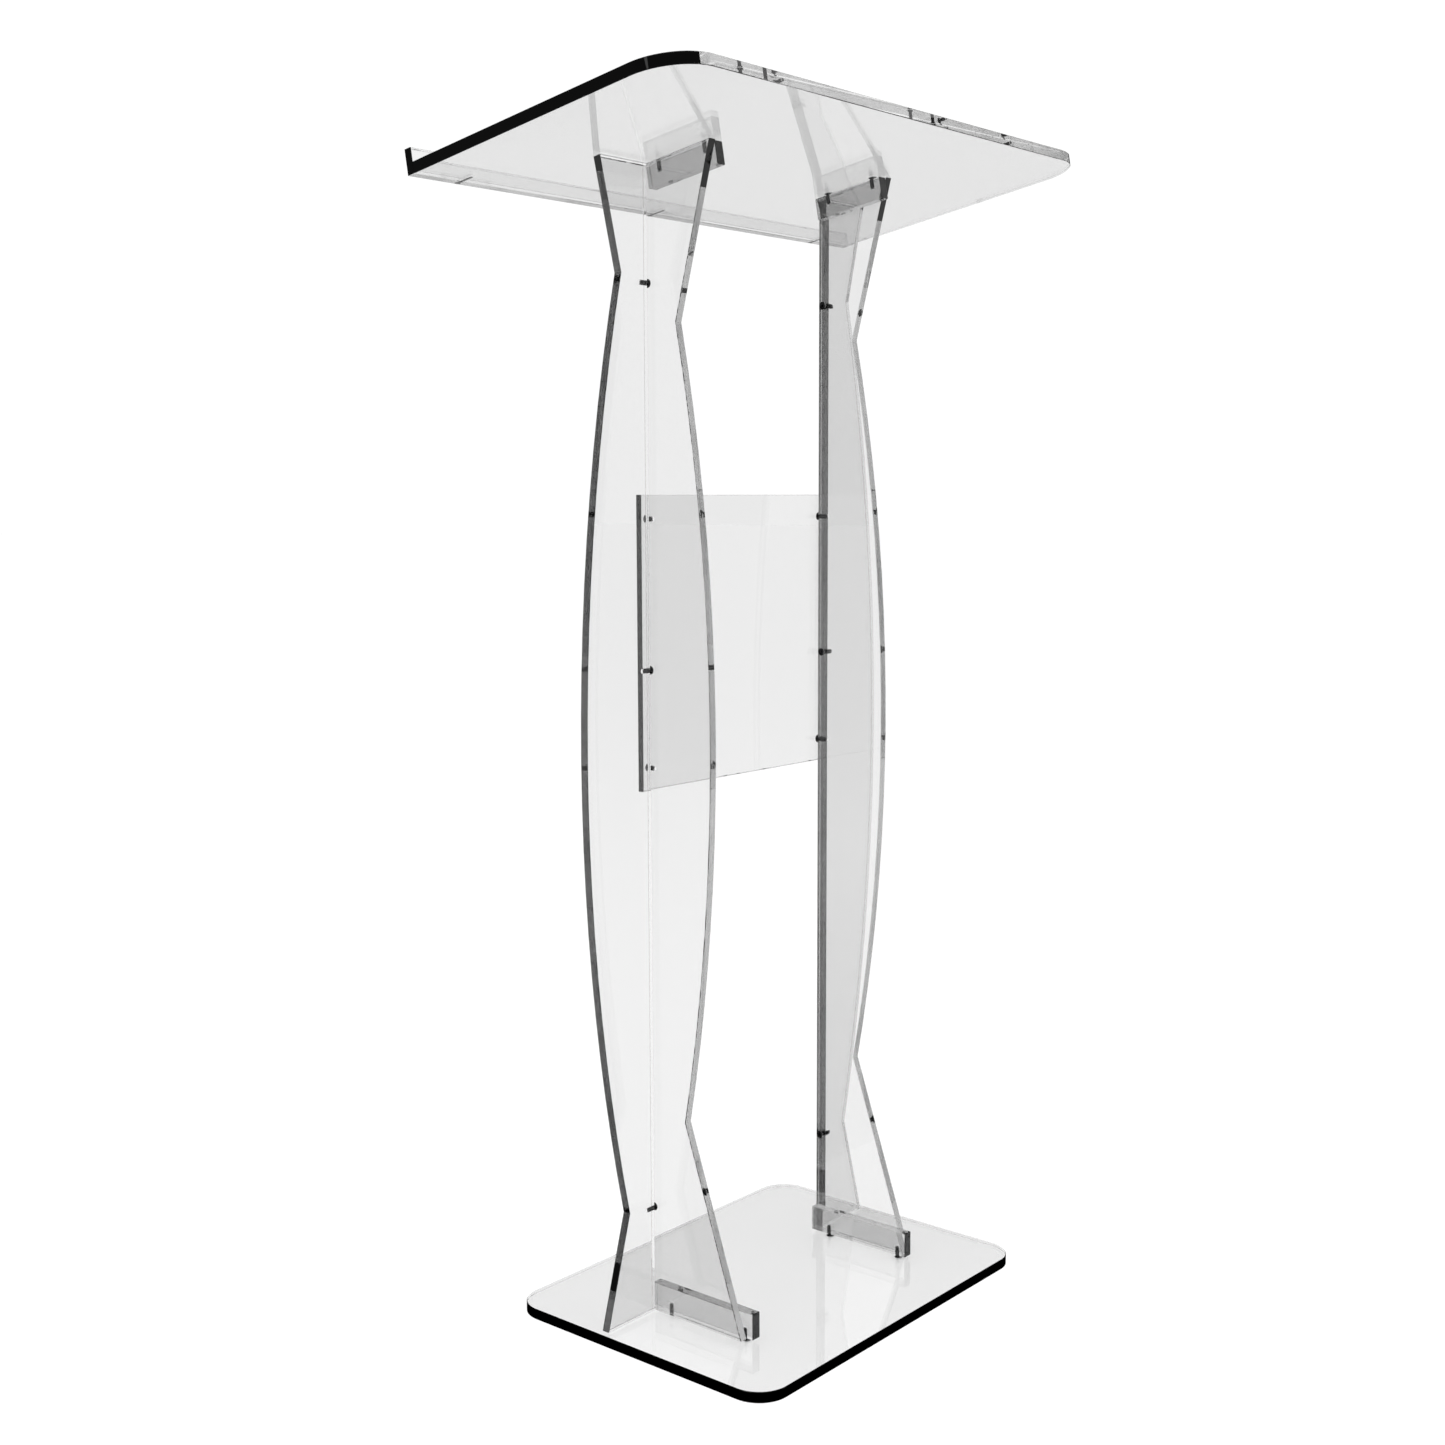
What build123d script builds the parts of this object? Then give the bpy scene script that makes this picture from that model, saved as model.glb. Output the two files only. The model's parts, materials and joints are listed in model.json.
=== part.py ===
"""Clear acrylic presentation lectern, built as separate sheets, bars and screws.

Frame, in millimetres: the origin is on the floor at the middle of the base plate, +Z is up,
+X is to the right as the audience sees the lectern, -Y faces the audience and +Y the speaker.
Each leg is an L of two curved wings: a side wing that runs outwards along X and a front wing
that runs towards the audience along -Y. Bars on the inner face of each front wing take the
screws of the base plate and of the reading top.
"""
import os
from math import cos, radians, sin, tan

from build123d import *

# ---- base plate ----
BASE_WIDTH = 400.0
BASE_DEPTH = 300.0
BASE_THICKNESS = 10.0
BASE_CORNER_RADIUS = 30.0

# ---- reading top and its paper stop ----
TOP_WIDTH = 600.0
TOP_DEPTH = 291.0
TOP_THICKNESS = 10.0
TOP_CORNER_RADIUS = 45.0
TOP_TILT = 10.0
UNDERSIDE_HEIGHT = 1041.0       # floor to the top's lower face, above the middle of the base
STOP_THICKNESS = 8.0
STOP_HEIGHT = 22.0

# ---- legs ----
WING_THICKNESS = 8.0
LEG_GAP = 246.0                 # clear width between the inner faces of the two legs
LEG_REAR_Y = 42.0               # the legs' flat rear, where the modesty panel lies
# Widths of the side wing, from the front wing's outer face out to the curved edge
SIDE_TOP_WIDTH = 59.0
SIDE_WAIST_WIDTH = 33.0
SIDE_BELLY_WIDTH = 80.5
SIDE_FOOT_WIDTH = 62.0
SIDE_UPPER_WAIST_DROP = 100.0   # below the underside height
SIDE_LOWER_WAIST_HEIGHT = 112.0
# Widths of the front wing, from the leg's rear out to the curved edge
FRONT_TOP_WIDTH = 77.0
FRONT_UPPER_WAIST_WIDTH = 40.0
FRONT_BELLY_WIDTH = 77.0
FRONT_LOWER_WAIST_WIDTH = 46.0
FRONT_FOOT_WIDTH = 110.0
FRONT_UPPER_WAIST_DROP = 141.0
FRONT_LOWER_WAIST_HEIGHT = 196.0

# ---- modesty panel ----
PANEL_THICKNESS = 6.0
PANEL_HEIGHT = 262.0
PANEL_TOP_HEIGHT = 754.0
PANEL_OVERLAP = 14.0            # how far it laps over each leg, from the leg's inner face

# ---- mounting bars ----
STRIP_THICKNESS = 10.0
STRIP_REAR_SETBACK = 2.0        # from the leg's rear
BASE_STRIP_HEIGHT = 24.0
BASE_STRIP_LENGTH = 115.0
TOP_STRIP_HEIGHT = 20.0
TOP_STRIP_LENGTH = 76.0

# ---- countersunk screws: shank radius, and length from the face to the tip ----
CORNER_SCREW_RADIUS = 2.0
CORNER_SCREW_LENGTH = 16.0
CORNER_SCREW_LOW_HEIGHT = 107.0
CORNER_SCREW_MIDDLE_HEIGHT = 600.0
CORNER_SCREW_TOP_DROP = 106.0   # below the underside height
PANEL_SCREW_RADIUS = 2.0
PANEL_SCREW_LENGTH = 16.0
PANEL_SCREW_INSET = 21.0        # from the panel's upper and lower edges
PLATE_SCREW_RADIUS = 2.0
PLATE_SCREW_LENGTH = 18.0
BASE_SCREW_REAR_INSET = 20.0    # from the ends of the base bars
BASE_SCREW_FRONT_INSET = 11.0
TOP_SCREW_REAR_INSET = 13.0     # from the ends of the top bars
TOP_SCREW_FRONT_INSET = 11.0
STOP_SCREW_RADIUS = 1.5
STOP_SCREW_LENGTH = 18.0
STOP_SCREW_SPACING = 245.0

# ---- shared proportions and clearances ----
JOINT_GAP = 0.05                # film of air where two polished faces meet
HOLE_CLEARANCE = 0.05           # radial, between every screw and its hole
TIP_CLEARANCE = 1.0             # beyond the tip of every screw in its blind hole
HEAD_RATIO = 1.9                # head radius over shank radius
SOCKET_RATIO = 0.62             # hexagon socket, across flats over shank diameter
SOCKET_DEPTH_RATIO = 0.8        # socket depth over shank radius
SINK_DEPTH = 0.3                # the heads lie this far below their face
EDGE_BREAK = 0.5                # polished chamfer on the edges of every sheet and bar

# ---- derived places ----
INNER_X = LEG_GAP / 2                                   # inner face of each front wing
OUTER_X = INNER_X + WING_THICKNESS                      # outer face, where the side wing butts
SIDE_FRONT_Y = LEG_REAR_Y - WING_THICKNESS              # audience face of each side wing
STRIP_OUTER_X = INNER_X - JOINT_GAP
STRIP_INNER_X = STRIP_OUTER_X - STRIP_THICKNESS
STRIP_MID_X = STRIP_OUTER_X - STRIP_THICKNESS / 2
FOOT_HEIGHT = BASE_THICKNESS + JOINT_GAP                # where the legs and base bars stand
STRIP_REAR_Y = LEG_REAR_Y - STRIP_REAR_SETBACK
TILT = radians(TOP_TILT)

# In the top's own frame, X is across, Y runs down the slope and Z is square to the plate,
# with the plate's lower face at zero. The stop's upper corner is plumb over the base's rear.
TOP_FRAME = Location((0, 0, UNDERSIDE_HEIGHT), (-TOP_TILT, 0, 0))
STOP_OUTER = (BASE_DEPTH / 2 - STOP_HEIGHT * sin(TILT)) / cos(TILT)
STOP_INNER = STOP_OUTER - STOP_THICKNESS
PLATE_LOW_EDGE = STOP_INNER - JOINT_GAP
PLATE_HIGH_EDGE = PLATE_LOW_EDGE - TOP_DEPTH


def block(x_range, y_range, z_range):
    """A box between two limits on each axis."""
    size = [high - low for low, high in (x_range, y_range, z_range)]
    middle = [(high + low) / 2 for low, high in (x_range, y_range, z_range)]
    return Pos(*middle) * Box(*size)


def broken_edges(faces):
    """The solid that the faces belong to, with the polished chamfer round each of them."""
    return chamfer(faces.edges(), EDGE_BREAK)


def mirrored(solid):
    """The same piece on the left leg."""
    return mirror(solid, about=Plane.YZ)


def both_sides(places):
    """Each (x, ...) place on the right, followed by the same place on the left."""
    return [(side * place[0],) + tuple(place[1:]) for place in places for side in (1, -1)]


# ---- screws and their holes; each is made pointing down -Z with its seat at zero ----
def hexagon_socket(radius, top):
    depth = radius * SOCKET_DEPTH_RATIO
    hexagon = RegularPolygon(radius * SOCKET_RATIO, 6, major_radius=False)
    return Pos(0, 0, top - depth) * extrude(hexagon, depth + 1)


def countersunk_screw(radius, length):
    """A countersunk screw whose head lies just below its face."""
    head_radius = radius * HEAD_RATIO
    head_depth = head_radius - radius
    profile = Polyline(
        (0, -SINK_DEPTH),
        (head_radius, -SINK_DEPTH),
        (radius, -SINK_DEPTH - head_depth),
        (radius, -length + radius * 0.3),
        (radius * 0.7, -length),
        (0, -length),
        close=True,
    )
    screw = revolve(Plane.XZ * make_face(profile), Axis.Z)
    return screw - hexagon_socket(radius, -SINK_DEPTH)


def countersunk_hole(radius, length):
    """The hole and cone of a countersunk screw, one clearance larger than the screw."""
    head_radius = radius * HEAD_RATIO + HOLE_CLEARANCE
    hole_radius = radius + HOLE_CLEARANCE
    rim_depth = SINK_DEPTH
    profile = Polyline(
        (0, 1),
        (head_radius, 1),
        (head_radius, -rim_depth),
        (hole_radius, -rim_depth - head_radius + hole_radius),
        (hole_radius, -length - TIP_CLEARANCE),
        (0, -length - TIP_CLEARANCE),
        close=True,
    )
    return revolve(Plane.XZ * make_face(profile), Axis.Z)


def drilled(piece, places, hole):
    """The piece with the hole cut at each place."""
    return piece - [place * hole for place in places]


def group(places, screw):
    """One separate screw at each place."""
    return Compound(children=[place * screw for place in places])


# ---- where the screws go ----
def corner_screw_places():
    """Through each front wing from its inner face, into the end of the side wing."""
    middle_y = LEG_REAR_Y - WING_THICKNESS / 2
    top_height = UNDERSIDE_HEIGHT - CORNER_SCREW_TOP_DROP
    places = []
    for height in (CORNER_SCREW_LOW_HEIGHT, CORNER_SCREW_MIDDLE_HEIGHT, top_height):
        places.append(Location((INNER_X, middle_y, height), (0, -90, 0)))
        places.append(Location((-INNER_X, middle_y, height), (0, 90, 0)))
    return places


def panel_screw_places():
    """Through the modesty panel from behind, into the rear edge of each front wing."""
    x = INNER_X + WING_THICKNESS / 2
    y = LEG_REAR_Y + JOINT_GAP + PANEL_THICKNESS
    low = PANEL_TOP_HEIGHT - PANEL_HEIGHT + PANEL_SCREW_INSET
    high = PANEL_TOP_HEIGHT - PANEL_SCREW_INSET
    spots = both_sides([(x, y, low), (x, y, high)])
    return [Location(spot, (-90, 0, 0)) for spot in spots]


def base_screw_places():
    """Up through the base plate into the base bars."""
    rear = STRIP_REAR_Y - BASE_SCREW_REAR_INSET
    front = STRIP_REAR_Y - BASE_STRIP_LENGTH + BASE_SCREW_FRONT_INSET
    spots = both_sides([(STRIP_MID_X, rear, 0), (STRIP_MID_X, front, 0)])
    return [Location(spot, (180, 0, 0)) for spot in spots]


def top_screw_places():
    """Down through the reading top, square to it, into the top bars."""
    rear = STRIP_REAR_Y - TOP_SCREW_REAR_INSET
    front = STRIP_REAR_Y - TOP_STRIP_LENGTH + TOP_SCREW_FRONT_INSET
    spots = both_sides([(STRIP_MID_X, rear, TOP_THICKNESS), (STRIP_MID_X, front, TOP_THICKNESS)])
    return [TOP_FRAME * Location(spot) for spot in spots]


def stop_screw_places():
    """Through the paper stop into the low edge of the reading top."""
    spots = [(step * STOP_SCREW_SPACING, STOP_OUTER, TOP_THICKNESS / 2) for step in (-1, 0, 1)]
    return [TOP_FRAME * Location(spot, (-90, 0, 0)) for spot in spots]


CORNER_PLACES = corner_screw_places()
PANEL_PLACES = panel_screw_places()
BASE_PLACES = base_screw_places()
TOP_PLACES = top_screw_places()
STOP_PLACES = stop_screw_places()

CORNER_HOLE = countersunk_hole(CORNER_SCREW_RADIUS, CORNER_SCREW_LENGTH)
PANEL_HOLE = countersunk_hole(PANEL_SCREW_RADIUS, PANEL_SCREW_LENGTH)
PLATE_HOLE = countersunk_hole(PLATE_SCREW_RADIUS, PLATE_SCREW_LENGTH)
STOP_HOLE = countersunk_hole(STOP_SCREW_RADIUS, STOP_SCREW_LENGTH)


# ---- plates ----
def base_plate():
    plate = block(
        (-BASE_WIDTH / 2, BASE_WIDTH / 2),
        (-BASE_DEPTH / 2, BASE_DEPTH / 2),
        (0, BASE_THICKNESS),
    )
    plate = fillet(plate.edges().filter_by(Axis.Z), BASE_CORNER_RADIUS)
    plate = broken_edges(plate.faces().filter_by(Axis.Z))
    return drilled(plate, BASE_PLACES, PLATE_HOLE)


def reading_top():
    plate = block(
        (-TOP_WIDTH / 2, TOP_WIDTH / 2),
        (PLATE_HIGH_EDGE, PLATE_LOW_EDGE),
        (0, TOP_THICKNESS),
    )
    uprights = plate.edges().filter_by(Axis.Z).sort_by(Axis.Y)
    plate = fillet(uprights[:2], TOP_CORNER_RADIUS)
    plate = broken_edges(plate.faces().filter_by(Axis.Z))
    plate = drilled(TOP_FRAME * plate, TOP_PLACES, PLATE_HOLE)
    return drilled(plate, STOP_PLACES, STOP_HOLE)


def paper_stop():
    strip = block(
        (-TOP_WIDTH / 2, TOP_WIDTH / 2),
        (STOP_INNER, STOP_OUTER),
        (0, STOP_HEIGHT),
    )
    strip = broken_edges(strip.faces().filter_by(Axis.Y))
    return drilled(TOP_FRAME * strip, STOP_PLACES, STOP_HOLE)


def modesty_panel():
    half_width = INNER_X + PANEL_OVERLAP
    panel = block(
        (-half_width, half_width),
        (LEG_REAR_Y + JOINT_GAP, LEG_REAR_Y + JOINT_GAP + PANEL_THICKNESS),
        (PANEL_TOP_HEIGHT - PANEL_HEIGHT, PANEL_TOP_HEIGHT),
    )
    panel = broken_edges(panel.faces().filter_by(Axis.Y))
    return drilled(panel, PANEL_PLACES, PANEL_HOLE)


# ---- legs ----
def wing_outline(widths, upper_waist_height, lower_waist_height, top_height):
    """A wing's face, width against height: straight to each waist, one arc between them."""
    foot, lower_waist, belly, upper_waist, top = widths
    # The straight upper run is carried on to the trimming height at the same taper.
    taper = (top - upper_waist) / (UNDERSIDE_HEIGHT - upper_waist_height)
    top_width = top + taper * (top_height - UNDERSIDE_HEIGHT)
    belly_height = (upper_waist_height + lower_waist_height) / 2
    run_up = Polyline((0, top_height), (0, FOOT_HEIGHT), (foot, FOOT_HEIGHT),
                      (lower_waist, lower_waist_height))
    bulge = ThreePointArc((lower_waist, lower_waist_height), (belly, belly_height),
                          (upper_waist, upper_waist_height))
    run_back = Polyline((upper_waist, upper_waist_height), (top_width, top_height), (0, top_height))
    return make_face([*run_up.edges(), bulge, *run_back.edges()])


def trimmed_under_top(wing):
    """The wing cut off along the reading top's lower face."""
    reach = TOP_WIDTH + TOP_DEPTH
    return wing - TOP_FRAME * block((-reach, reach), (-reach, reach), (-JOINT_GAP, reach))


# High enough for the trimming cut to shorten the wings everywhere
ROUGH_HEIGHT = UNDERSIDE_HEIGHT + TOP_DEPTH * tan(TILT)


def right_side_wing():
    widths = (SIDE_FOOT_WIDTH, SIDE_WAIST_WIDTH, SIDE_BELLY_WIDTH, SIDE_WAIST_WIDTH,
              SIDE_TOP_WIDTH)
    upper_waist = UNDERSIDE_HEIGHT - SIDE_UPPER_WAIST_DROP
    outline = wing_outline(widths, upper_waist, SIDE_LOWER_WAIST_HEIGHT, ROUGH_HEIGHT)
    face = Plane((OUTER_X + JOINT_GAP, LEG_REAR_Y, 0), x_dir=(1, 0, 0), z_dir=(0, -1, 0))
    wing = trimmed_under_top(extrude(face * outline, WING_THICKNESS))
    wing = broken_edges(wing.faces().filter_by(Axis.Y))
    return drilled(wing, CORNER_PLACES, CORNER_HOLE)


def right_front_wing():
    widths = (FRONT_FOOT_WIDTH, FRONT_LOWER_WAIST_WIDTH, FRONT_BELLY_WIDTH,
              FRONT_UPPER_WAIST_WIDTH, FRONT_TOP_WIDTH)
    upper_waist = UNDERSIDE_HEIGHT - FRONT_UPPER_WAIST_DROP
    outline = wing_outline(widths, upper_waist, FRONT_LOWER_WAIST_HEIGHT, ROUGH_HEIGHT)
    face = Plane((OUTER_X, LEG_REAR_Y, 0), x_dir=(0, -1, 0), z_dir=(-1, 0, 0))
    wing = trimmed_under_top(extrude(face * outline, WING_THICKNESS))
    wing = broken_edges(wing.faces().filter_by(Axis.X))
    wing = drilled(wing, CORNER_PLACES, CORNER_HOLE)
    return drilled(wing, PANEL_PLACES, PANEL_HOLE)


def right_base_strip():
    bar = block(
        (STRIP_INNER_X, STRIP_OUTER_X),
        (STRIP_REAR_Y - BASE_STRIP_LENGTH, STRIP_REAR_Y),
        (FOOT_HEIGHT, FOOT_HEIGHT + BASE_STRIP_HEIGHT),
    )
    bar = broken_edges(bar.faces())
    return drilled(bar, BASE_PLACES, PLATE_HOLE)


def right_top_strip():
    bar = block(
        (STRIP_INNER_X, STRIP_OUTER_X),
        (STRIP_REAR_Y - TOP_STRIP_LENGTH, STRIP_REAR_Y),
        (-JOINT_GAP - TOP_STRIP_HEIGHT, -JOINT_GAP),
    )
    bar = broken_edges(bar.faces())
    return drilled(TOP_FRAME * bar, TOP_PLACES, PLATE_HOLE)


# ---- the whole lectern, one node for each kind of piece in its own place ----
def build():
    side_wing = right_side_wing()
    front_wing = right_front_wing()
    base_strip = right_base_strip()
    top_strip = right_top_strip()
    return {
        "base_plate": base_plate(),
        "reading_top": reading_top(),
        "paper_stop": paper_stop(),
        "modesty_panel": modesty_panel(),
        "right_side_wing": side_wing,
        "left_side_wing": mirrored(side_wing),
        "right_front_wing": front_wing,
        "left_front_wing": mirrored(front_wing),
        "right_base_strip": base_strip,
        "left_base_strip": mirrored(base_strip),
        "right_top_strip": top_strip,
        "left_top_strip": mirrored(top_strip),
        "corner_screws": group(CORNER_PLACES,
                               countersunk_screw(CORNER_SCREW_RADIUS, CORNER_SCREW_LENGTH)),
        "panel_screws": group(PANEL_PLACES,
                              countersunk_screw(PANEL_SCREW_RADIUS, PANEL_SCREW_LENGTH)),
        "base_screws": group(BASE_PLACES,
                             countersunk_screw(PLATE_SCREW_RADIUS, PLATE_SCREW_LENGTH)),
        "top_screws": group(TOP_PLACES, countersunk_screw(PLATE_SCREW_RADIUS, PLATE_SCREW_LENGTH)),
        "stop_screws": group(STOP_PLACES, countersunk_screw(STOP_SCREW_RADIUS, STOP_SCREW_LENGTH)),
    }


os.makedirs("parts", exist_ok=True)
for name, shape in build().items():
    export_step(shape, f"parts/{name}.step")
    box = shape.bounding_box()
    size = ", ".join(f"{side:.1f}" for side in box.size)
    print(f"{name}: {len(shape.solids())} solid(s), {size} mm")
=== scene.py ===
# %% [markdown]
# # A clear acrylic presentation lectern
# The lectern is cut from clear acrylic sheet: a base plate, two L-shaped legs with curved
# wings, a modesty panel across their backs and a tilted reading top with a paper stop.
# Everything is held with small black screws that show through the plastic.
# The CAD model already has every sheet at its true size, so this script keeps those shapes.
# It adds what CAD can't show: how light goes through polished plastic, what a cut edge
# looks like, and real screw threads and sockets.

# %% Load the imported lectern
import json
from math import cos, floor, pi, radians, sin

import bpy
from mathutils import Matrix, Vector


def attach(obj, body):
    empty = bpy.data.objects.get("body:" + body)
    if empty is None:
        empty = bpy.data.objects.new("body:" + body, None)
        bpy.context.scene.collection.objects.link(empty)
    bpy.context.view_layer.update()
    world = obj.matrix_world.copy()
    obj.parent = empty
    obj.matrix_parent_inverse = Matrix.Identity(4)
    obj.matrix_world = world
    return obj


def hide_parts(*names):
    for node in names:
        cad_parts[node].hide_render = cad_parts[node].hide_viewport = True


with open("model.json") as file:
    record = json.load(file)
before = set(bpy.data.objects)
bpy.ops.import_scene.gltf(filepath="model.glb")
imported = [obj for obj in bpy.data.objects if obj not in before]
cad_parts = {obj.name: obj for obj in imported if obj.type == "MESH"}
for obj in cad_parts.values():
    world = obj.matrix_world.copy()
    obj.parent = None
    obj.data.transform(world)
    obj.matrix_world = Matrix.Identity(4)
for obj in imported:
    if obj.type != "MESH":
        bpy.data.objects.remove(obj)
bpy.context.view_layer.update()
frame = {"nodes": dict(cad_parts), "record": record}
scene = bpy.context.scene
nodes = frame["nodes"]
mounts = {mount["name"]: mount for mount in frame["record"]["mounts"]}

# %% [markdown]
# ## The camera
# The lectern is seen from its left front, a little above its middle. A camera can be aimed
# with a Track To constraint, but three plain turns are easier to read and to change: the tilt
# down, the turn about the upright axis and a very small roll.

# %% Set up the camera
CAMERA_PLACE = Vector((-1.3372, -1.0672, 0.7505))
CAMERA_TURN = -49.83            # degrees, away from looking along +Y
CAMERA_DROP = 6.87              # degrees below level
CAMERA_ROLL = -0.18             # degrees
CAMERA_LENS = 46.3              # millimetres, on a sensor 36 mm wide


def studio_camera():
    lens = bpy.data.cameras.new("studio_camera")
    lens.lens = CAMERA_LENS
    camera = bpy.data.objects.new("studio_camera", lens)
    scene.collection.objects.link(camera)
    camera.matrix_world = (Matrix.Translation(CAMERA_PLACE)
                           @ Matrix.Rotation(radians(CAMERA_TURN), 4, "Z")
                           @ Matrix.Rotation(radians(90 - CAMERA_DROP), 4, "X")
                           @ Matrix.Rotation(radians(CAMERA_ROLL), 4, "Z"))
    return camera


scene.camera = studio_camera()
print("camera at", tuple(round(value, 3) for value in CAMERA_PLACE))

# %% [markdown]
# ## Small helpers for shader nodes
# Every finish below is a small network of nodes. These helpers keep the cells short: one adds
# a node, one joins sockets, and three make the kinds of node that come up again and again.


# %% Node helpers
def add(tree, kind, inputs=None, **settings):
    """A new node with its settings and the values of its unlinked inputs."""
    node = tree.nodes.new(kind)
    for name, value in settings.items():
        setattr(node, name, value)
    for socket, value in (inputs or {}).items():
        node.inputs[socket].default_value = value
    return node


def feed(tree, value, socket):
    """Links an output socket to an input, or sets the input to a plain value."""
    if isinstance(value, bpy.types.NodeSocket):
        tree.links.new(value, socket)
    else:
        socket.default_value = value


def sums(tree, operation, *operands):
    """A Math node's result; each operand is a socket or a number."""
    node = add(tree, "ShaderNodeMath", operation=operation)
    for place, operand in enumerate(operands):
        feed(tree, operand, node.inputs[place])
    return node.outputs[0]


def ramp(tree, value, source, target):
    """A value carried from one range to another, and held at its ends."""
    low, high = source
    node = add(tree, "ShaderNodeMapRange", {"From Min": low, "From Max": high})
    feed(tree, value, node.inputs["Value"])
    feed(tree, target[0], node.inputs["To Min"])
    feed(tree, target[1], node.inputs["To Max"])
    return node.outputs["Result"]


def blend_colours(tree, factor, first, second):
    """Two colours mixed by a factor."""
    node = add(tree, "ShaderNodeMix", data_type="RGBA")
    factor_socket, first_socket, second_socket = (node.inputs[i] for i in (0, 6, 7))
    feed(tree, factor, factor_socket)
    feed(tree, first, first_socket)
    feed(tree, second, second_socket)
    return node.outputs[2]


def grey(level):
    return (level, level, level, 1.0)


# %% [markdown]
# ## Floor and light
# Clear plastic only shows what is around it. On a white ground it is the faint grey of each
# sheet and the dark lines of its edges, painted shade, that draw the lectern, so the floor and
# the air behind it are plain white and evenly lit. Mirror reflections are kept calm: they see a
# dim room with a bright ceiling, and the floor near the lectern is painted dark for mirror rays
# only, a painted dark reflection in place of a floor cloth.

# %% What only a mirror reflection sees


def mirror_ray(tree):
    """One for a ray that has just been mirrored by a polished face, zero for the others."""
    ray = add(tree, "ShaderNodeLightPath")
    return sums(tree, "MULTIPLY", ray.outputs["Is Glossy Ray"], ray.outputs["Is Reflection Ray"])


# %% Lay the floor
FLOOR_DROP = 0.0005             # a hair below the base plate, so that the two faces don't meet
FLOOR_SIZE = 80.0
FLOOR_WHITE = 0.98
MIRRORED_SHADE_EDGES = (0.3, 2.2)        # from the lectern, where the painted dark patch seen only in reflections starts to fade and ends
MIRRORED_FLOOR_GREY = 0.70           # what a reflection sees of the floor beyond the painted dark patch


def white_floor():
    half = FLOOR_SIZE / 2
    corners = [(-half, -half), (half, -half), (half, half), (-half, half)]
    mesh = bpy.data.meshes.new("studio_floor")
    mesh.from_pydata([(x, y, -FLOOR_DROP) for x, y in corners], [], [(0, 1, 2, 3)])
    paint = bpy.data.materials.new("floor_paint")
    paint.use_nodes = True
    tree = paint.node_tree
    shader = tree.nodes["Principled BSDF"]
    shader.inputs["Roughness"].default_value = 1.0
    shader.inputs["Specular IOR Level"].default_value = 0.0
    place = add(tree, "ShaderNodeTexCoord")
    distance = add(tree, "ShaderNodeVectorMath", operation="LENGTH")
    feed(tree, place.outputs["Object"], distance.inputs[0])
    mirrored_shade = ramp(tree, distance.outputs["Value"], MIRRORED_SHADE_EDGES, (0.0, MIRRORED_FLOOR_GREY))
    # Painted dark reflection: mirror rays see the floor dark near the lectern, other rays see it
    # white.
    white = ramp(tree, mirror_ray(tree), (0, 1), (FLOOR_WHITE, mirrored_shade))
    feed(tree, white, shader.inputs["Base Color"])
    mesh.materials.append(paint)
    ground = bpy.data.objects.new("studio_floor", mesh)
    scene.collection.objects.link(ground)
    return ground


white_floor()
print("floor laid", FLOOR_DROP * 1000, "mm below the base plate")

# %% Light the room
AIR_WHITE = 1.04                # brightness of the white ground
ROOM_DIM = 0.10                 # what a reflection sees at eye level
CEILING_BRIGHT = 0.9            # and high above
CEILING_EDGES = (0.68, 0.90)    # upward share of a direction, where the ceiling begins
LIGHT_PATH_LENGTH = 40          # light that runs inside a sheet is mirrored dozens of times


def studio_air():
    air = bpy.data.worlds.new("studio_air")
    air.use_nodes = True
    tree = air.node_tree
    background = tree.nodes["Background"]
    background.inputs["Color"].default_value = grey(1.0)
    place = add(tree, "ShaderNodeTexCoord")
    parts = add(tree, "ShaderNodeSeparateXYZ")
    feed(tree, place.outputs["Generated"], parts.inputs["Vector"])
    room = ramp(tree, parts.outputs["Z"], CEILING_EDGES, (ROOM_DIM, CEILING_BRIGHT))
    brightness = ramp(tree, mirror_ray(tree), (0, 1), (AIR_WHITE, room))
    feed(tree, brightness, background.inputs["Strength"])
    return air


scene.world = studio_air()
scene.view_settings.view_transform = "Standard"
scene.cycles.max_bounces = LIGHT_PATH_LENGTH
scene.cycles.transmission_bounces = LIGHT_PATH_LENGTH
scene.cycles.glossy_bounces = LIGHT_PATH_LENGTH
print("room lit, ground at", AIR_WHITE)

# %% Hang two soft lamps
LAMP_AIM = Vector((0, 0, 0.55))
LAMP_SIZE = (1.2, 1.8)
LAMP_POWER = 8.0
LAMPS = {"left_lamp": Vector((-2.2, 0.4, 2.6)), "right_lamp": Vector((1.8, -1.6, 2.9))}


def soft_lamp(name, place):
    """A soft box that lights the set and shows in reflections, but not through the plastic."""
    light = bpy.data.lights.new(name, "AREA")
    light.shape = "RECTANGLE"
    light.size, light.size_y = LAMP_SIZE
    light.energy = LAMP_POWER
    lamp = bpy.data.objects.new(name, light)
    scene.collection.objects.link(lamp)
    turn = (LAMP_AIM - place).to_track_quat("-Z", "Y").to_matrix().to_4x4()
    lamp.matrix_world = Matrix.Translation(place) @ turn
    lamp.visible_camera = False
    lamp.visible_transmission = False


for lamp_name, lamp_place in LAMPS.items():
    soft_lamp(lamp_name, lamp_place)
print("soft lamps:", ", ".join(LAMPS))

# %% [markdown]
# ## The look of a cut edge
# A sheet of acrylic is clear through its faces, but its cut edges look grey or black: light
# that comes in at an edge runs along inside the sheet, mirrored between the two faces.
# Here that grey and black is painted shade, put into the plastic's colour on the edges.
# The edges could be given a material of their own, but then the mesh would have to be split.
# A shader can find them instead, by comparing the surface's direction with the direction
# that the sheet faces. The mask is a node group, because every sheet uses it with its own
# values. Some edges are painted darker at one end, as shade where a bar or a screw stands behind
# them.


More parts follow.
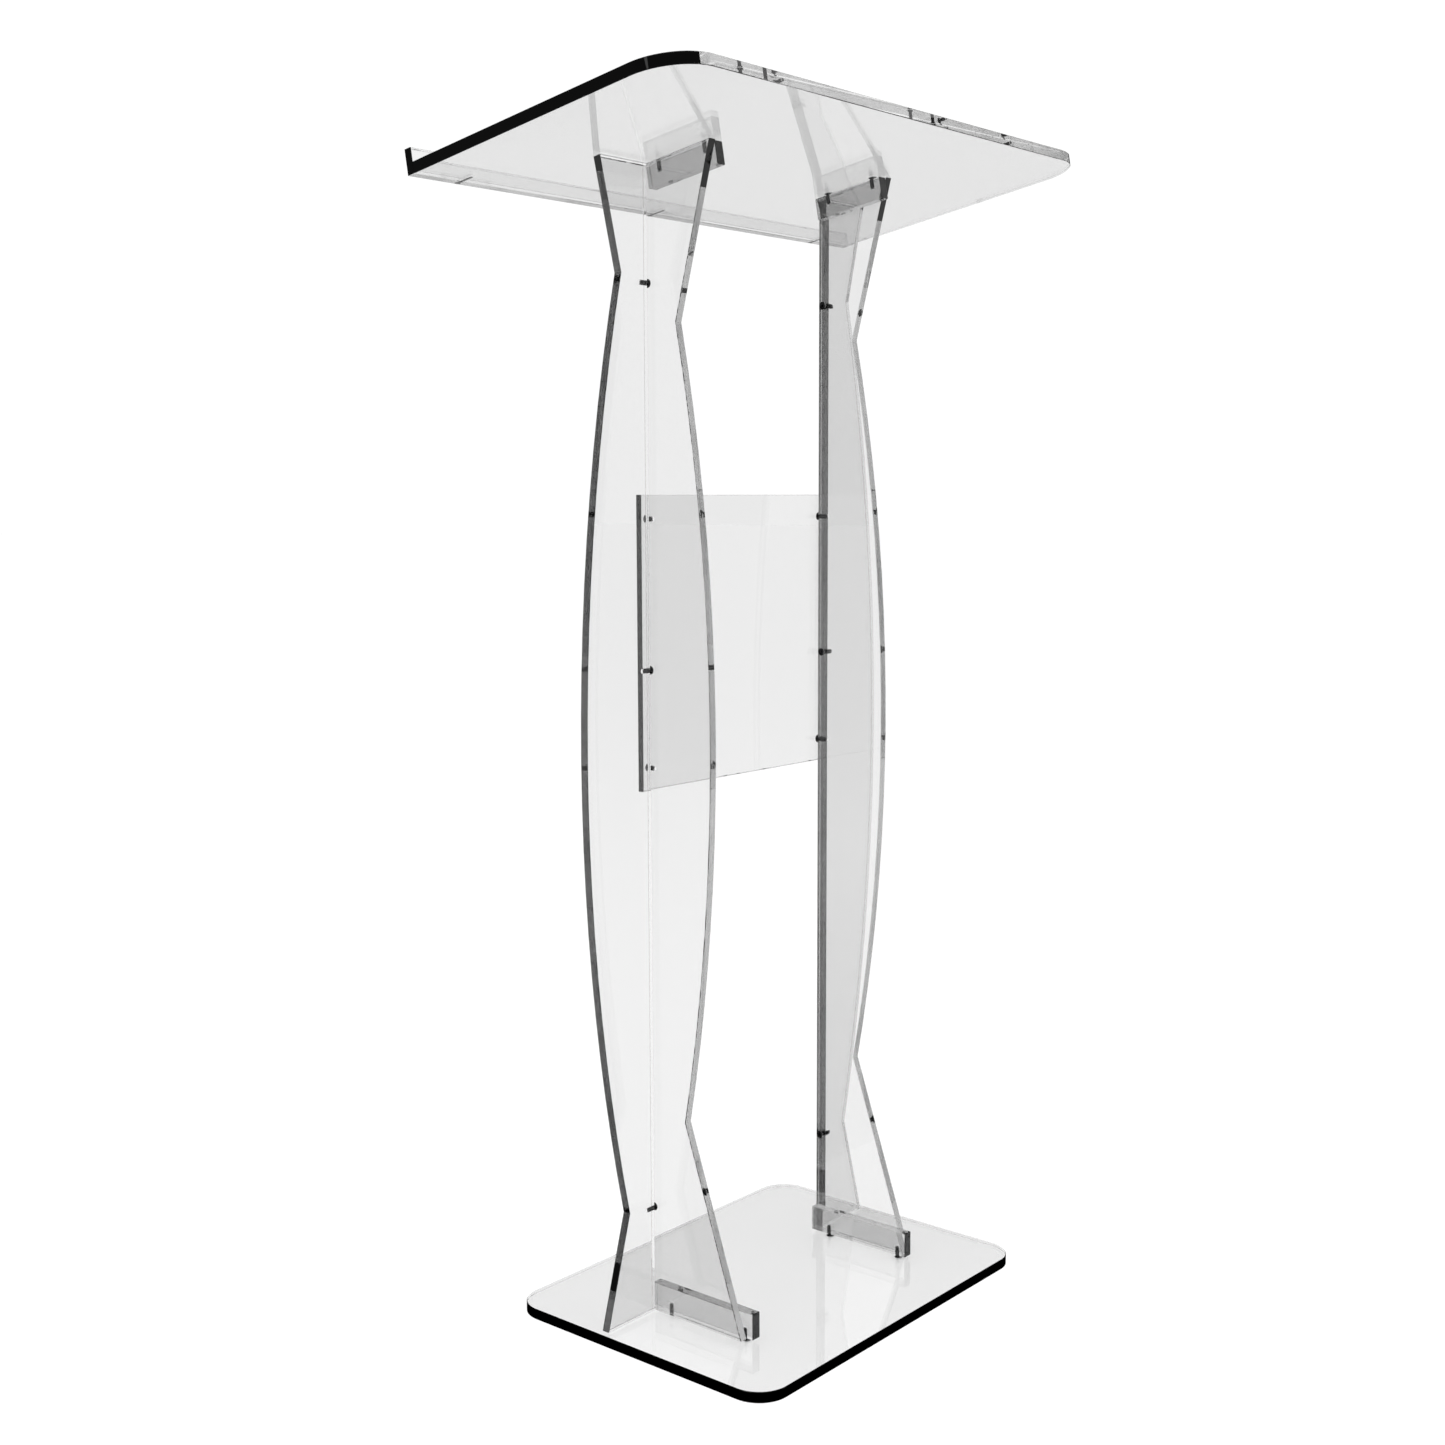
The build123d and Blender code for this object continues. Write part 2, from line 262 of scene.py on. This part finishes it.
# %% Node group: where a sheet's cut edges are, and where shade is painted on them
def group_tree(name, inputs, outputs):
    """An empty node group with its named inputs and outputs."""
    tree = bpy.data.node_groups.new(name, "ShaderNodeTree")
    for title, kind, value in inputs:
        socket = tree.interface.new_socket(title, in_out="INPUT", socket_type=kind)
        socket.default_value = value
    for title in outputs:
        tree.interface.new_socket(title, in_out="OUTPUT", socket_type="NodeSocketFloat")
    return tree, add(tree, "NodeGroupInput").outputs, add(tree, "NodeGroupOutput").inputs


NUMBER, DIRECTION = "NodeSocketFloat", "NodeSocketVector"
EDGE_TURN = (0.9, 0.72)         # aligned more than the first is face, less than the second edge
OUT_OF_REACH = 9.0              # a limit that nothing on the lectern passes
SHADE_BAND_SCALE = 14.0               # slow changes of the painted edge shade along an edge, per metre
SHADE_BAND_GREYS = (0.55, 1.25)       # the least and the most of an edge's painted shade grey
NOISE_SPREAD = (0.3, 0.7)       # between these lie nearly all of a noise texture's values


def cut_edge_group():
    tree, given, result = group_tree(
        "cut_edge",
        [("Sheet Direction", DIRECTION, (0, 0, 1)), ("Painted Shade Direction", DIRECTION, (1, 0, 0)),
         ("Painted Shade From", NUMBER, OUT_OF_REACH), ("Painted Shade Above", NUMBER, OUT_OF_REACH),
         ("Shade Band Bottom", NUMBER, OUT_OF_REACH), ("Shade Band Top", NUMBER, OUT_OF_REACH)],
        ["Edge", "Painted Shade Edge", "Shade Banding"])
    place = add(tree, "ShaderNodeTexCoord")

    def along(direction):
        """How far the surface faces along a direction, either way."""
        product = add(tree, "ShaderNodeVectorMath", operation="DOT_PRODUCT")
        feed(tree, place.outputs["Normal"], product.inputs[0])
        feed(tree, direction, product.inputs[1])
        return sums(tree, "ABSOLUTE", product.outputs["Value"])

    edge = ramp(tree, along(given["Sheet Direction"]), EDGE_TURN, (0.0, 1.0))
    parts = add(tree, "ShaderNodeSeparateXYZ")
    feed(tree, place.outputs["Object"], parts.inputs["Vector"])
    height = parts.outputs["Z"]
    # Painted shade: edges that face one way, stand high or lie in a band are painted black.
    turned = sums(tree, "GREATER_THAN", along(given["Painted Shade Direction"]), given["Painted Shade From"])
    high = sums(tree, "GREATER_THAN", height, given["Painted Shade Above"])
    shade_band = sums(tree, "MULTIPLY", sums(tree, "GREATER_THAN", height, given["Shade Band Bottom"]),
                sums(tree, "LESS_THAN", height, given["Shade Band Top"]))
    painted_shade = sums(tree, "MAXIMUM", turned, sums(tree, "MAXIMUM", high, shade_band))
    # Painted shade along an edge: slow noise makes the edge's painted grey lighter and darker.
    cloud = add(tree, "ShaderNodeTexNoise", {"Scale": SHADE_BAND_SCALE, "Detail": 2.0})
    feed(tree, place.outputs["Object"], cloud.inputs["Vector"])
    feed(tree, edge, result["Edge"])
    feed(tree, sums(tree, "MULTIPLY", edge, painted_shade), result["Painted Shade Edge"])
    feed(tree, ramp(tree, cloud.outputs["Fac"], NOISE_SPREAD, SHADE_BAND_GREYS), result["Shade Banding"])
    return tree


CUT_EDGE = cut_edge_group()
print("cut edge group:", len(CUT_EDGE.nodes), "nodes")

# %% [markdown]
# ## Marks of use and of the saw
# Acrylic is soft. Its faces gather faint wiping marks and smudges, which show only as a
# slight change of gloss, and its sawn and flame-polished edges keep a fine ripple.
# Scratches could be drawn one by one, but a stretched noise gives the same broken streaks for
# nothing. The ripple runs across the sheet's thickness, so the noise is read at a point that
# has been pressed flat against the sheet.


# %% Node group: wiping marks and saw ripple
SMUDGE_SCALE = 9.0              # patches per metre
SMUDGE_PATCHES = (0.5, 0.75)    # noise values where a patch starts and is strongest
WIPE_SCALE = 60.0
WIPE_STREAKS = (0.56, 0.7)
WIPE_STRETCH = (1.0, 1.0, 0.06)
RIPPLE_SCALE = 700.0


def marks_group():
    tree, given, result = group_tree(
        "wiping_and_sawing",
        [("Sheet Direction", DIRECTION, (0, 0, 1)), ("Edge", NUMBER, 0.0),
         ("Face Gloss", NUMBER, 0.01), ("Mark Gloss", NUMBER, 0.05),
         ("Edge Gloss", NUMBER, 0.015)],
        ["Roughness", "Height"])
    place = add(tree, "ShaderNodeTexCoord").outputs["Object"]

    def noise(scale, vector, detail):
        node = add(tree, "ShaderNodeTexNoise", {"Scale": scale, "Detail": detail})
        feed(tree, vector, node.inputs["Vector"])
        return node.outputs["Fac"]

    stretched = add(tree, "ShaderNodeVectorMath", operation="MULTIPLY")
    feed(tree, place, stretched.inputs[0])
    feed(tree, WIPE_STRETCH, stretched.inputs[1])
    smudges = ramp(tree, noise(SMUDGE_SCALE, place, 3.0), SMUDGE_PATCHES, (0.0, 1.0))
    wipes = ramp(tree, noise(WIPE_SCALE, stretched.outputs[0], 4.0), WIPE_STREAKS, (0.0, 1.0))
    marks = sums(tree, "MULTIPLY", smudges, wipes)
    across = add(tree, "ShaderNodeVectorMath", operation="PROJECT")
    feed(tree, place, across.inputs[0])
    feed(tree, given["Sheet Direction"], across.inputs[1])
    pressed = add(tree, "ShaderNodeVectorMath", operation="SUBTRACT")
    feed(tree, place, pressed.inputs[0])
    feed(tree, across.outputs[0], pressed.inputs[1])
    ripple = noise(RIPPLE_SCALE, pressed.outputs[0], 1.0)
    face = ramp(tree, marks, (0, 1), (given["Face Gloss"], given["Mark Gloss"]))
    feed(tree, ramp(tree, given["Edge"], (0, 1), (face, given["Edge Gloss"])),
         result["Roughness"])
    feed(tree, sums(tree, "MULTIPLY", ripple, given["Edge"]), result["Height"])
    return tree


MARKS = marks_group()
print("marks group:", len(MARKS.nodes), "nodes")

# %% [markdown]
# ## Clear acrylic
# One function makes the plastic of every sheet and bar. The Principled shader does the real
# work: light goes through, bends and is mirrored inside. Its colour is a very light grey on
# the faces and a darker one, painted shade, on the edges where light comes in from outside. A
# far edge, seen through the sheet, is painted as a soft grey line of shade. Tinted glass in a
# path tracer throws noisy dark shadows, so rays that only carry light to the floor go straight
# through instead.

# %% Clear acrylic
ACRYLIC_IOR = 1.49
FAR_EDGE_SHADE = 0.55                 # painted shade: the grey of a far edge seen through the sheet, over that of a face
SHADOW_TINT = 0.96              # light kept at each surface by a ray that lights the floor
RIPPLE_DEPTH = 0.000003         # metres
BLACK = grey(0.0)


def clear_acrylic(name, direction, face, edge, **painted_shade):
    """Acrylic for a piece whose broad faces look along a direction, with its face grey and
    painted edge shade.
    """
    material = bpy.data.materials.new(name)
    material.use_nodes = True
    tree = material.node_tree
    shader = tree.nodes["Principled BSDF"]
    shader.inputs["Transmission Weight"].default_value = 1.0
    shader.inputs["IOR"].default_value = ACRYLIC_IOR

    edges = add(tree, "ShaderNodeGroup", {"Sheet Direction": direction}, node_tree=CUT_EDGE)
    for title, value in painted_shade.items():
        edges.inputs[title.replace("_", " ").title()].default_value = value
    inside = add(tree, "ShaderNodeNewGeometry").outputs["Backfacing"]
    # Painted shade: edges seen from outside take the painted edge grey, far edges a darker face
    # grey, and the dark masks black.
    outside = sums(tree, "SUBTRACT", 1.0, inside)
    painted_edge_shade = blend_colours(tree, edges.outputs["Shade Banding"], BLACK, grey(edge))
    entry = sums(tree, "MULTIPLY", edges.outputs["Edge"], outside)
    leaving = sums(tree, "MULTIPLY", edges.outputs["Edge"], inside)
    clear = blend_colours(tree, leaving, grey(face), grey(face * FAR_EDGE_SHADE))
    colour = blend_colours(tree, entry, clear, painted_edge_shade)
    painted_shade_entry = sums(tree, "MULTIPLY", edges.outputs["Painted Shade Edge"], outside)
    feed(tree, blend_colours(tree, painted_shade_entry, colour, BLACK), shader.inputs["Base Color"])

    marks = add(tree, "ShaderNodeGroup", {"Sheet Direction": direction}, node_tree=MARKS)
    feed(tree, edges.outputs["Edge"], marks.inputs["Edge"])
    feed(tree, marks.outputs["Roughness"], shader.inputs["Roughness"])
    bump = add(tree, "ShaderNodeBump", {"Distance": RIPPLE_DEPTH})
    feed(tree, marks.outputs["Height"], bump.inputs["Height"])
    feed(tree, bump.outputs["Normal"], shader.inputs["Normal"])

    ray = add(tree, "ShaderNodeLightPath")
    lighting = sums(tree, "MAXIMUM", ray.outputs["Is Shadow Ray"], ray.outputs["Is Diffuse Ray"])
    straight = add(tree, "ShaderNodeBsdfTransparent", {"Color": grey(SHADOW_TINT)})
    either = add(tree, "ShaderNodeMixShader")
    feed(tree, lighting, either.inputs[0])
    feed(tree, shader.outputs[0], either.inputs[1])
    feed(tree, straight.outputs[0], either.inputs[2])
    feed(tree, either.outputs[0], tree.nodes["Material Output"].inputs["Surface"])
    return material


def finish_node(node, material):
    """Gives a CAD node its finish; the node keeps its own shape."""
    slots = nodes[node].material_slots
    for slot in slots:
        slot.material = material
    print(node, "->", material.name, f"({len(slots)} slot)")


# %% [markdown]
# ## The plates, the stop and the modesty panel
# The base plate's edge is painted black all the way round, as shade. The reading top's is
# painted black at its two sides and round its corners, and light grey at the front, where the
# heads and tips of the screws show as dark ticks. The stop and the panel are thin strips with
# ends painted black as shade.

# %% Finish the plates
ACROSS, DEEP, UP = (1, 0, 0), (0, 1, 0), (0, 0, 1)
TOP_DIRECTION = tuple(mounts["reading_face"]["axis"])
SLOPE_DIRECTION = (0, TOP_DIRECTION[2], -TOP_DIRECTION[1])
# Painted shade: ends that face across are painted black.
SHADED_ENDS = {"painted_shade_direction": ACROSS, "painted_shade_from": 0.3}

base_sheet = clear_acrylic("base_sheet", UP, face=0.92, edge=0.0)
top_sheet = clear_acrylic("top_sheet", TOP_DIRECTION, face=0.76, edge=0.95, **SHADED_ENDS)
stop_sheet = clear_acrylic("stop_sheet", SLOPE_DIRECTION, face=0.84, edge=0.5, **SHADED_ENDS)
panel_sheet = clear_acrylic("panel_sheet", DEEP, face=0.83, edge=0.6, **SHADED_ENDS)
finish_node("base_plate", base_sheet)
finish_node("reading_top", top_sheet)
finish_node("paper_stop", stop_sheet)
finish_node("modesty_panel", panel_sheet)

# %% [markdown]
# ## The legs
# The side wings' curved edges are painted dark grey and the front wings' lighter, as shade,
# because the two look towards different parts of the room. Both are painted black at the top, as
# shade in front of the bars, and the side wings have a painted black band of shade near the
# foot.

# %% Finish the wings
WING_FACE = 0.82
# Painted shade: each kind of wing gets its own edge grey and black top, and the side wings a
# black band; both are one acrylic.
SIDE_EDGE_SHADE = {"edge": 0.04, "painted_shade_above": 1.022, "shade_band_bottom": 0.045, "shade_band_top": 0.069}
FRONT_EDGE_SHADE = {"edge": 0.45, "painted_shade_above": 1.009}

side_finish = clear_acrylic("side_wing_sheet", DEEP, WING_FACE, **SIDE_EDGE_SHADE)
front_finish = clear_acrylic("front_wing_sheet", ACROSS, WING_FACE, **FRONT_EDGE_SHADE)
for leg in ("left", "right"):
    finish_node(leg + "_side_wing", side_finish)
    finish_node(leg + "_front_wing", front_finish)

# %% [markdown]
# ## The bars
# The bars are given a greyer tint than the sheets, painted shade, since they are seen through
# the wings, and their sawn ends are painted black as shade.

# %% Finish the bars
SHADED_BAR_ENDS = {"painted_shade_direction": DEEP, "painted_shade_from": 0.5}

# Painted shade: the bars' darker face greys and their black ends.
base_bar = clear_acrylic("base_bar", ACROSS, face=0.74, edge=0.7, **SHADED_BAR_ENDS)
top_bar = clear_acrylic("top_bar", ACROSS, face=0.53, edge=0.6, **SHADED_BAR_ENDS)
for leg in ("left", "right"):
    finish_node(leg + "_base_strip", base_bar)
    finish_node(leg + "_top_strip", top_bar)

# %% [markdown]
# ## Black screws
# The screws are steel with a black oxide finish. The finish is thin, so it is a little
# uneven and slightly brighter where a key or a hand has rubbed it. One metal material does
# for all of them: a dark colour with a rough, cloudy gloss.


# %% Black oxide steel
OXIDE_METAL = 0.85
OXIDE_SCALE = 900.0             # clouds in the finish, per metre
OXIDE_BLACK = (0.012, 0.012, 0.013, 1)
RUBBED_BLACK = (0.06, 0.06, 0.062, 1)
RUBBED_PATCHES = (0.55, 0.75)   # noise values where rubbing starts and is strongest
OXIDE_GLOSS = (0.5, 0.3)        # roughness of the dull and of the rubbed places
GRAIN_DEPTH = 0.00002           # metres
GRAIN_STRENGTH = 0.6


def black_oxide():
    material = bpy.data.materials.new("black_oxide_steel")
    material.use_nodes = True
    tree = material.node_tree
    shader = tree.nodes["Principled BSDF"]
    shader.inputs["Metallic"].default_value = OXIDE_METAL
    place = add(tree, "ShaderNodeTexCoord").outputs["Object"]
    cloud = add(tree, "ShaderNodeTexNoise", {"Scale": OXIDE_SCALE, "Detail": 3.0})
    feed(tree, place, cloud.inputs["Vector"])
    rubbed = ramp(tree, cloud.outputs["Fac"], RUBBED_PATCHES, (0.0, 1.0))
    colour = blend_colours(tree, rubbed, OXIDE_BLACK, RUBBED_BLACK)
    feed(tree, colour, shader.inputs["Base Color"])
    gloss = ramp(tree, cloud.outputs["Fac"], NOISE_SPREAD, OXIDE_GLOSS)
    feed(tree, gloss, shader.inputs["Roughness"])
    bump = add(tree, "ShaderNodeBump", {"Distance": GRAIN_DEPTH, "Strength": GRAIN_STRENGTH})
    feed(tree, cloud.outputs["Fac"], bump.inputs["Height"])
    feed(tree, bump.outputs["Normal"], shader.inputs["Normal"])
    return material


SCREW_STEEL = black_oxide()
print("screw steel ready")

# %% [markdown]
# ## Turning a screw
# A screw is a turned part, so it is built as a lathe would see it: a stack of rings from the
# tip to the head and down into the socket, joined by quads. A ring's radius may change with
# the angle. That one idea gives the hexagon of the socket, and the thread too: the ridge's
# height depends on height and angle together, so it climbs one pitch in each turn.
# A screw modifier could make the thread, but it leaves open ends that need cleaning up.

# %% Rings of a screw
RING_POINTS = 24                # a multiple of six, so that each socket corner gets a point
RINGS_PER_TURN = 6
PITCH_RATIO = 0.35              # thread pitch over shank radius
ROOT_RATIO = 1.04               # radius at the bottom of the thread over the shank's
CREST_RATIO = 1.12              # and at its crest
RIDGE_TOP = 1.6                 # with RIDGE_FALL, how much of a pitch is ridge and how steep
RIDGE_FALL = 2.2


def hexagon(half_flats):
    """The radius of a hexagon at each angle, from half its width across the flats."""
    def radius(angle):
        return half_flats / cos((angle + pi / 6) % (pi / 3) - pi / 6)
    return radius


def thread_ring(height, root, crest, pitch, strength):
    """The radius of a thread at one height: a flat-topped ridge that climbs with the angle."""
    def radius(angle):
        turn = height / pitch - angle / (2 * pi)
        distance = abs(turn - floor(turn) - 0.5) * 2
        ridge = min(1.0, max(0.0, RIDGE_TOP - RIDGE_FALL * distance))
        return root + (crest - root) * ridge * strength
    return radius


def thread_rings(bottom, top, root, crest, pitch):
    """Rings from the tip up to the head, with the ridge fading out over the last turns."""
    count = round((top - bottom) / pitch * RINGS_PER_TURN)
    rings = []
    for step in range(count + 1):
        height = bottom + (top - bottom) * step / count
        fade = min(1.0, (height - bottom) / pitch, (top - height) / pitch)
        rings.append((height, thread_ring(height, root, crest, pitch, fade)))
    return rings


print("a thread turn has", RINGS_PER_TURN * RING_POINTS, "quads")


# %% Turn a screw from its rings
def turned(rings):
    """Points and faces of a closed solid from rings of (height, radius or radius(angle))."""
    points = [(0.0, 0.0, rings[0][0])]
    for height, radius in rings:
        for step in range(RING_POINTS):
            angle = 2 * pi * step / RING_POINTS
            reach = radius(angle) if callable(radius) else radius
            points.append((reach * cos(angle), reach * sin(angle), height))
    points.append((0.0, 0.0, rings[-1][0]))
    faces = []
    for step in range(RING_POINTS):
        after = (step + 1) % RING_POINTS
        faces.append((0, 1 + after, 1 + step))
        for ring in range(len(rings) - 1):
            low = 1 + ring * RING_POINTS
            high = low + RING_POINTS
            faces.append((low + step, low + after, high + after, high + step))
        last = 1 + (len(rings) - 1) * RING_POINTS
        faces.append((len(points) - 1, last + step, last + after))
    return points, faces


# %% [markdown]
# ## The countersunk screw
# Every screw is countersunk, so that nothing stands proud of the polished sheets, and has a
# hexagon socket. The sizes follow from the CAD screw's head and length; the shank is set from
# the head. The thread and the cone of the head reach a hair into the plastic, as a screw driven
# tight does. A film of air around them would mirror the white room and make the black steel look
# thin and grey.

# %% Shape of the screw
HEAD_RATIO = 1.9                # head radius over shank radius
SOCKET_RATIO = 0.62             # socket across flats over shank diameter
SOCKET_DEPTH_RATIO = 0.8        # socket depth over shank radius
MOUTH_RATIO = 1.25              # the socket's chamfered mouth over half its width
BREAK_RATIO = 0.06              # height of the small chamfers over shank radius
TIP_RATIO = 0.7                 # radius of the tip over shank radius
TIP_CHAMFER_RATIO = 0.3         # height of its chamfer over shank radius
HEAD_BITE = 0.0001              # from the CAD head out into the plastic, metres


def socket_rings(shank, head_top):
    """Down the hexagon socket, from its chamfered mouth to its floor."""
    half_flats = shank * SOCKET_RATIO
    wall = hexagon(half_flats)
    chamfer_floor = head_top - shank * BREAK_RATIO
    floor_height = head_top - shank * SOCKET_DEPTH_RATIO
    return [(head_top, half_flats * MOUTH_RATIO), (chamfer_floor, wall), (floor_height, wall)]


def shank_rings(shank, tip, under_head):
    """Up from the chamfered tip to the underside of the head."""
    root, crest = shank * ROOT_RATIO, shank * CREST_RATIO
    start = tip + shank * TIP_CHAMFER_RATIO
    thread = thread_rings(start, under_head, root, crest, shank * PITCH_RATIO)
    return [(tip, shank * TIP_RATIO)] + thread


def screw_rings(shank, tip, head_top):
    """A whole screw: shank, cone of the head and socket."""
    rim = shank * HEAD_RATIO
    neck = head_top - (rim - shank)
    shoulder = head_top - shank * BREAK_RATIO
    cone = [(neck, shank + HEAD_BITE), (shoulder, rim + HEAD_BITE), (head_top, rim)]
    return shank_rings(shank, tip, neck) + cone + socket_rings(shank, head_top)


# %% [markdown]
# ## Fitting the screws
# Each CAD node of screws holds several, so its points are first sorted into single screws:
# points nearer together than a screw's length belong to one. A screw's axis is known from
# the job it does, and its line, head and tip are then measured from its own points. Every
# screw is turned by its own angle, since no two stop at the same place.

# %% Measure the CAD screws
SCREW_REACH = 0.022             # farther than this from the first point is another screw


def single_screws(node):
    """The points of each screw in a CAD node."""
    screws = []
    for vertex in nodes[node].data.vertices:
        place = vertex.co.copy()
        for screw in screws:
            if (screw[0] - place).length < SCREW_REACH:
                screw.append(place)
                break
        else:
            screws.append([place])
    return screws


def measured(screw, axis):
    """A turn onto the screw's axis, its middle line, its tip and head heights and its rim."""
    turn = axis.to_track_quat("Z", "Y").to_matrix()
    local = [turn.transposed() @ place for place in screw]
    lows = [min(place[i] for place in local) for i in range(3)]
    highs = [max(place[i] for place in local) for i in range(3)]
    middle = [(lows[i] + highs[i]) / 2 for i in range(2)]
    rim = (highs[0] - lows[0]) / 2
    return turn, middle, lows[2], highs[2], rim


# %% Thread and fit every screw
SCREW_SPIN = 2.4                # radians from one screw's socket to the next one's
SHARP_ANGLE = radians(35)


def fit_screws(node, axis_of):
    """One mesh with a threaded screw in place of each CAD screw."""
    points, faces = [], []
    for index, screw in enumerate(single_screws(node)):
        turn, middle, tip, head_top, rim = measured(screw, axis_of(screw[0]))
        spin = Matrix.Rotation(SCREW_SPIN * index, 3, "Z")
        new_points, new_faces = turned(screw_rings(rim / HEAD_RATIO, tip, head_top))
        first = len(points)
        for x, y, z in new_points:
            spun = spin @ Vector((x, y, 0))
            points.append(turn @ Vector((spun.x + middle[0], spun.y + middle[1], z)))
        faces += [tuple(first + corner for corner in face) for face in new_faces]
    mesh = bpy.data.meshes.new(node + "_threaded")
    mesh.from_pydata(points, [], faces)
    mesh.shade_smooth()
    mesh.set_sharp_from_angle(angle=SHARP_ANGLE)
    mesh.materials.append(SCREW_STEEL)
    piece = bpy.data.objects.new(node + "_threaded", mesh)
    scene.collection.objects.link(piece)
    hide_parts(node)
    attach(piece, "root")
    print(piece.name, "-", index + 1, "screws,", len(faces), "faces")


def towards_middle(place):
    """The corner screws' heads look towards the space between the legs."""
    return Vector((-1.0 if place.x > 0 else 1.0, 0, 0))


fit_screws("corner_screws", towards_middle)
fit_screws("panel_screws", lambda place: Vector(DEEP))
fit_screws("base_screws", lambda place: -Vector(UP))
fit_screws("top_screws", lambda place: Vector(TOP_DIRECTION))
fit_screws("stop_screws", lambda place: Vector(SLOPE_DIRECTION))
